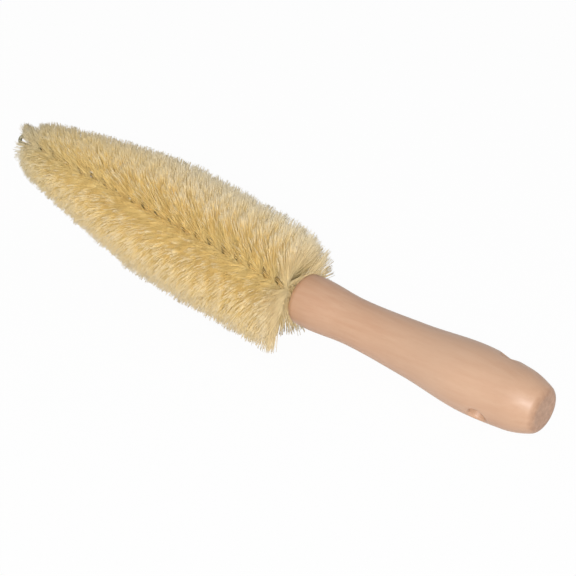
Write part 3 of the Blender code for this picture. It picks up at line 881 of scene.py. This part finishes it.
def mean_lean(choice, station, turn):
    """Usual lean of a fibre towards the tip, as a share of its reach.

    Along the brush it runs from backward at the back, there most on the low front side and
    least where the brush lies on the table, to forward over the cone and the tip. Round the
    brush it is larger on the combed side.
    """
    start, end = fibre_start(), fibre_end()
    part = (station - start) / (end - start)
    behind, second_at, second_width, tip_width = 0.25, 0.055, 0.04, 0.05
    lean = choice.cone_lean
    along = smooth_through(
        [0.0, 0.22, 0.60, 0.88, 1.0], [0.0, 0.3 * lean, lean, lean, choice.tip_lean], 0.2, 0.0
    )(np.clip(part, 0.0, 1.0))
    back = (
        choice.back_lean
        + choice.back_low * near(turn, choice.leaning_low)
        - choice.back_rear * near(turn, choice.lying)
        + choice.back_tuft * near(turn, choice.tuft)
    )
    top = choice.back_top * near(turn, choice.leaning_top)
    tip_top = choice.tip_top * near(turn, choice.tip_side)
    combed = choice.combed * np.cos(turn - choice.combed_at)
    return (
        along
        - back * np.clip(1 - part / behind, 0.0, 1.0) ** 1.5
        - top * np.exp(-((part - second_at) / second_width) ** 2)
        + tip_top * np.exp(-((part - 1.0) / tip_width) ** 2)
        + combed * np.clip(part / behind, 0.0, 1.0)
    )


def first_sweep(choice, station, turn, draw):
    """How far round the very first fibres are swept, into the gap before the band begins."""
    length, most = 0.004, 2.2
    into = np.clip(1 - (station - fibre_start()) / length, 0.0, 1.0)
    return choice.sweep * draw.uniform(0, most, len(turn)) * near(turn, choice.swept) * into


def splay(choice, station, face):
    """How far along the brush a fibre splays at its tip, by its place between the band's faces.

    It is less where that is out over one of the two ends.
    """
    start, end = fibre_start(), fibre_end()
    back_length, back_least, tip_length, tip_least = 0.016, 0.4, 0.020, 0.5
    backward = np.interp(station, [start, start + back_length], [back_least, 1.0])
    forward = np.interp(station, [end - tip_length, end], [1.0, tip_least])
    return choice.splay * face * np.where(face < 0, backward, forward)


def parting(choice, turn, draw):
    """How far each fibre is turned away from the parted side.

    It is most beside the parting, falls evenly to nothing a quarter turn away from it, and
    varies from fibre to fibre.
    """
    away = (turn - choice.parted_at + np.pi) % (2 * np.pi) - np.pi
    most = choice.parted * draw.uniform(0.15, 1.35, len(turn))
    return np.sign(away) * most * np.clip(1 - np.abs(away) / (np.pi / 2), 0.0, 1.0)


def trimmed(roots, tips, margin=0.00012):
    """Tips drawn back along their fibres until they are inside the CAD model's box."""
    low, high = np.array(CAD_BOX[0]) + margin, np.array(CAD_BOX[1]) - margin
    run = tips - roots
    limit = np.where(run > 0, high, low) - roots
    share_left = np.where(np.abs(run) > 1e-6, limit / np.where(run == 0, 1.0, run), 1.0)
    return roots + np.clip(share_left.min(axis=1), 0.05, 1.0)[:, None] * run


def strands_mesh(name, roots, middles, tips, tones, choice):
    """Tapering three-sided strands through three points each.

    A strand's line is the parabola (1-t)^2 root + 2t(1-t) middle + t^2 tip. Round it stand
    rings of three points, whose radius shrinks evenly from the root to the tip.
    """
    rings, sides = choice.rings, 3
    total = len(roots)
    t = np.linspace(0, 1, rings)[None, :, None]
    line = (
        (1 - t) ** 2 * roots[:, None, :]
        + 2 * t * (1 - t) * middles[:, None, :]
        + t ** 2 * tips[:, None, :]
    )
    chord = tips - roots
    chord /= np.linalg.norm(chord, axis=1)[:, None]
    first = np.cross(chord, head_frame()[3])
    first /= np.linalg.norm(first, axis=1)[:, None]
    second = np.cross(chord, first)
    turn = 2 * np.pi * (np.arange(sides)[None, :] / sides + tones[:, None])
    ring = crossed(first, second, turn)
    radius = (choice.root + (choice.end - choice.root) * t) / 2
    points = line[:, :, None, :] + radius[..., None] * ring[:, None, :, :]
    points[..., 2] = np.maximum(points[..., 2], 0.0)
    quads = grid_quads(rings, sides)
    last = (rings - 1) * sides
    cap = np.array([[last, last + 1, last + 2]])
    shift = (np.arange(total) * rings * sides)[:, None, None]
    faces = [(quads[None] + shift).reshape(-1, 4), (cap[None] + shift).reshape(-1, 3)]
    mesh = mesh_from(name, points.reshape(-1, 3), faces)
    origin, up, across, to_tip = head_frame()
    along, up, across = ((line - origin) @ way for way in (to_tip, up, across))
    from_axis = np.hypot(up, across) / outline_radius(choice, along, np.arctan2(across, up))
    from_ends = np.minimum(fibre_end() - along, along - fibre_start())
    driest_end, fade = 0.90, 0.35
    near_ends = driest_end - fade * np.maximum(from_ends, 0.0) / choice.head
    dry = np.clip(np.maximum(from_axis, near_ends), 0.0, 1.0)
    layers = {"reach": t, "tone": tones[:, None, None], "dry": dry[..., None]}
    for label, values in layers.items():
        values = np.broadcast_to(values, (total, rings, sides))
        layer = mesh.attributes.new(label, "FLOAT", "POINT")
        layer.data.foreach_set("value", np.ascontiguousarray(values, np.float32).ravel())
    return mesh


def placed(out, aside, turn, along):
    """World places at a bearing round the head: so far out, and aside from there."""
    up = out * np.cos(turn) - aside * np.sin(turn)
    return head_place(up, out * np.sin(turn) + aside * np.cos(turn), along)


def whorl_strands(choice, whorl, draw):
    """Roots, middles, tips and tones of the fibres that half a turn of the twist grips.

    A fibre leaves the band's edge at its own place along the twist and stands out along
    the band. Its tip goes to its lock's tip, or for a loose fibre to a place of its own,
    at the trimmed outline less a shortfall. The nearer it lies to one face of the band, the
    further it splays to that side.
    """
    total, locks = choice.fibres, choice.locks
    half_pitch = bpy.context.scene.brush_wire.pitch / 2
    start = fibre_start() + whorl * half_pitch

    def held(number):
        """Evenly spread places along the half turn, each at either edge of the band."""
        place = (np.arange(number) + draw.random(number)) / number
        edge = np.where(draw.random(number) < 0.5, 0.0, np.pi)
        return start + place * half_pitch, edge

    def laid_out(station, grip, sway):
        """Bearings of fibres that leave the band here, and how far along they come to lie."""
        turn = grip + draw.normal(0, sway, len(grip))
        turn = turn + parting(choice, turn, draw)
        if whorl == 0:
            turn = turn - first_sweep(choice, station, turn, draw)
        return turn, station + mean_lean(choice, station, turn) * choice.head

    lock_station, lock_edge = held(locks)
    lock_grip = band_angle(lock_station) + lock_edge
    lock_turn, lock_along = laid_out(lock_station, lock_grip, choice.lock_sway)
    lock_face = draw.uniform(-1, 1, locks)
    lock_along = lock_along + draw.normal(0, choice.lock_fan, locks)
    lock_along = lock_along + splay(choice, lock_station, lock_face)
    lock_least, own_least, own_usual, each_usual = 0.7, 1.2, 1.6, 0.5
    lock_short = choice.uneven * (lock_least + draw.exponential(1.0, locks))
    lock_short = np.where(draw.random(locks) < choice.long, 0.0, lock_short)
    lock_tone = draw.normal(0, choice.lock_tone, locks)
    lock_bow = draw.normal(0, choice.curl, (2, locks))

    lock = draw.integers(0, locks, total)
    loose = draw.random(total) < (choice.loose if whorl else choice.loose_first)
    own_station, own_edge = held(total)
    gathered = lock_station[lock] + draw.normal(0, choice.spread, total)
    station = np.where(loose, own_station, np.clip(gathered, start, start + half_pitch))
    grip = band_angle(station) + np.where(loose, own_edge, lock_edge[lock])
    own_turn, own_along = laid_out(station, grip, choice.fan_sway)
    own_along = own_along + draw.normal(0, choice.fan, total)
    face = np.where(loose, draw.uniform(-1, 1, total), lock_face[lock])
    own_along = own_along + splay(choice, station, face)
    beside = draw.normal(0, choice.gather, (2, total))
    along = np.where(loose, own_along, lock_along[lock] + beside[0])
    turn = np.where(loose, own_turn, lock_turn[lock] + beside[1] / choice.head)
    back_end, front_end = fibre_start() - choice.past_back, fibre_end() + choice.past_end
    along = back_end + np.abs(along - back_end)
    along = front_end - np.abs(front_end - along)
    short = each_usual * choice.uneven * draw.exponential(1.0, total)
    own_short = choice.uneven * (own_least + draw.exponential(own_usual, total))
    short = short + np.where(loose, own_short, lock_short[lock])
    broken = draw.random(total) < choice.broken
    turn = np.where(broken, grip + draw.normal(0, 2 * choice.fan_sway, total), turn)
    along = np.where(broken, station + draw.normal(0, choice.stray, total), along)
    reach = outline_radius(choice, along, turn) - short
    shortest, longest = 0.15, 0.65
    reach = np.where(broken, reach * draw.uniform(shortest, longest, total), reach)
    ends = {
        0: (start, -0.0037, -0.0040, (0.0, 1.0), choice.back_collar),
        choice.whorls - 1: (fibre_end(), 0.0010, 0.0055, (1.0, 0.3), choice.tip_collar),
    }
    if whorl in ends:
        end, nearest, further, depth, (least, most) = ends[whorl]
        over = broken & (draw.random(total) < choice.collar)
        out = draw.random(total)
        reach = np.where(over, least + (most - least) * out, reach)
        past = np.interp(out, (0.0, 1.0), depth) * draw.random(total)
        along = np.where(over, end + nearest + further * past, along)
    root_out = choice.band_reach
    aside = (draw.uniform(-0.15, 0.15, total) - 0.35 * face) * choice.band
    roots = placed(root_out, aside, grip, station)
    tips = trimmed(roots, placed(reach, 0.0, turn, along))
    mid_turn = grip + choice.early * (turn - grip)
    mid_along = station + 0.5 * (along - station)
    mid_reach = 0.5 * (reach + root_out)
    bow = draw.normal(0, 0.5 * choice.curl, (2, total))
    bow = bow + np.where(loose, bow, lock_bow[:, lock])
    middles = placed(mid_reach, bow[0], mid_turn, mid_along + bow[1])
    tones = 0.5 + np.where(loose, 0.0, lock_tone[lock]) + draw.normal(0, choice.own_tone, total)
    return roots, middles, tips, np.clip(tones, 0.0, 1.0)


class BRUSH_OT_handle(Operator):
    """Turns the wooden handle, with its hang hole, its bore and its lacquer."""

    bl_idname = "brush.handle"
    bl_label = "Turn the handle"

    def execute(self, context):
        choice = context.scene.brush_handle
        show("handle_wood", handle_mesh(choice), wood_material(choice), "wood", "handle")
        return {"FINISHED"}


class BRUSH_OT_wire(Operator):
    """Twists the stem wire, and finishes the glue that holds it."""

    bl_idname = "brush.wire"
    bl_label = "Twist the wire"

    def execute(self, context):
        choice = context.scene.brush_wire
        show("stem_wire_fine", wire_mesh(choice), wire_material(choice), "wire", "stem_wire")
        glue = frame["nodes"]["glue_sleeve"].data
        glue.materials.clear()
        glue.materials.append(glue_material(choice))
        return {"FINISHED"}


class BRUSH_OT_fibre(Operator):
    """Lays the fibre in its whorls along the stem."""

    bl_idname = "brush.fibre"
    bl_label = "Lay the fibre"

    def execute(self, context):
        choice = context.scene.brush_fibre
        material = fibre_material(choice)
        for whorl in range(choice.whorls):
            draw = np.random.default_rng(choice.seed + whorl)
            name = f"fibre_lay_{whorl + 1:02d}"
            mesh = strands_mesh(name, *whorl_strands(choice, whorl, draw), choice)
            show(name, mesh, material, "fibre", f"fibre_whorl_{whorl + 1:02d}")
        return {"FINISHED"}


def view_axes(choice):
    """The camera's right, up and forward directions."""
    turn, rise = choice.azimuth, choice.elevation
    right = Vector((math.cos(turn), math.sin(turn), 0.0))
    flat = Vector((-math.sin(turn), math.cos(turn), 0.0))
    forward = flat * math.cos(rise) - Vector((0.0, 0.0, math.sin(rise)))
    return right, right.cross(forward), forward


def make_camera(choice):
    right, up, forward = view_axes(choice)
    nose = Vector(BUTT_CENTRE - TO_BUTT * bpy.context.scene.brush_handle.length)
    place = (
        nose - forward * choice.distance - right * choice.nose_right + up * choice.nose_down
    )
    data = bpy.data.cameras.new("camera")
    data.lens = choice.lens
    data.sensor_width = 36.0
    data.clip_start, data.clip_end = 0.05, 20.0
    camera = add_object(bpy.data.objects.new("camera", data))
    axes = Matrix((right, up, -forward)).transposed().to_4x4()
    camera.matrix_world = Matrix.Translation(place) @ axes
    bpy.context.scene.camera = camera


def add_lamp(name, place, target, width, watts):
    """A round lamp that stands at place and looks at target."""
    data = bpy.data.lights.new(name, "AREA")
    data.shape = "DISK"
    data.size = width
    data.energy = watts
    lamp = add_object(bpy.data.objects.new(name, data))
    look = (target - place).to_track_quat("-Z", "Y")
    lamp.matrix_world = Matrix.Translation(place) @ look.to_matrix().to_4x4()


class BRUSH_OT_stage(Operator):
    """Sets the table, the soft lights and the camera."""

    bl_idname = "brush.stage"
    bl_label = "Set the stage"

    def execute(self, context):
        choice = context.scene.brush_stage
        scene = context.scene
        square = np.array([[-1, -1], [1, -1], [1, 1], [-1, 1]])
        points = np.column_stack([square * choice.table, np.full(4, -choice.table_gap)])
        mesh = mesh_from("table", points, [np.array([[0, 1, 2, 3]])])
        pale = ("ShaderNodeBsdfDiffuse", {"Color": rgba(choice.floor)})
        white = {"Color": (1.0, 1.0, 1.0, 1.0), "Strength": 1.0}
        mesh.materials.append(two_faced(
            bpy.data.materials.new("pale_table"), "ShaderNodeOutputMaterial",
            pale, ("ShaderNodeEmission", white), choice.table_glow,
        ))
        add_object(bpy.data.objects.new("table", mesh))
        make_camera(choice)
        right, up, forward = view_axes(choice)
        middle = Vector((0.0, 0.0, 0.03))
        left, low = 0.03, 0.02
        behind = middle - forward * choice.key_distance - right * left - up * low
        over = middle + Vector((-0.3, 0.2, 1.2))
        add_lamp("key", behind, middle, choice.key_width, choice.key)
        add_lamp("overhead", over, middle, choice.fill_width, choice.fill)
        even = {"Color": rgba(choice.sky), "Strength": choice.sky_strength}
        scene.world = two_faced(
            bpy.data.worlds.new("soft_studio"), "ShaderNodeOutputWorld",
            ("ShaderNodeBackground", even), ("ShaderNodeBackground", white),
        )
        scene.view_settings.view_transform = "Standard"
        return {"FINISHED"}


class BRUSH_PT_panel(Panel):
    """Lists the steps that dress the brush."""

    bl_idname = "BRUSH_PT_panel"
    bl_label = "Wheel Brush"
    bl_space_type = "VIEW_3D"
    bl_region_type = "UI"
    bl_category = "Wheel Brush"

    def draw(self, context):
        for step in STEPS:
            self.layout.operator(step.bl_idname)


STEPS = (BRUSH_OT_handle, BRUSH_OT_wire, BRUSH_OT_fibre, BRUSH_OT_stage)
SETTINGS = {
    "brush_handle": BrushHandleSettings,
    "brush_wire": BrushWireSettings,
    "brush_fibre": BrushFibreSettings,
    "brush_stage": BrushStageSettings,
}


def register():
    for each in (*SETTINGS.values(), *STEPS, BRUSH_PT_panel):
        bpy.utils.register_class(each)
    for name, group in SETTINGS.items():
        setattr(bpy.types.Scene, name, PointerProperty(type=group))


def unregister():
    for name in SETTINGS:
        delattr(bpy.types.Scene, name)
    for each in reversed((*SETTINGS.values(), *STEPS, BRUSH_PT_panel)):
        bpy.utils.unregister_class(each)


def main():
    register()
    bpy.ops.brush.handle()
    bpy.ops.brush.wire()
    bpy.ops.brush.fibre()
    bpy.ops.brush.stage()


if __name__ == "__main__":
    main()
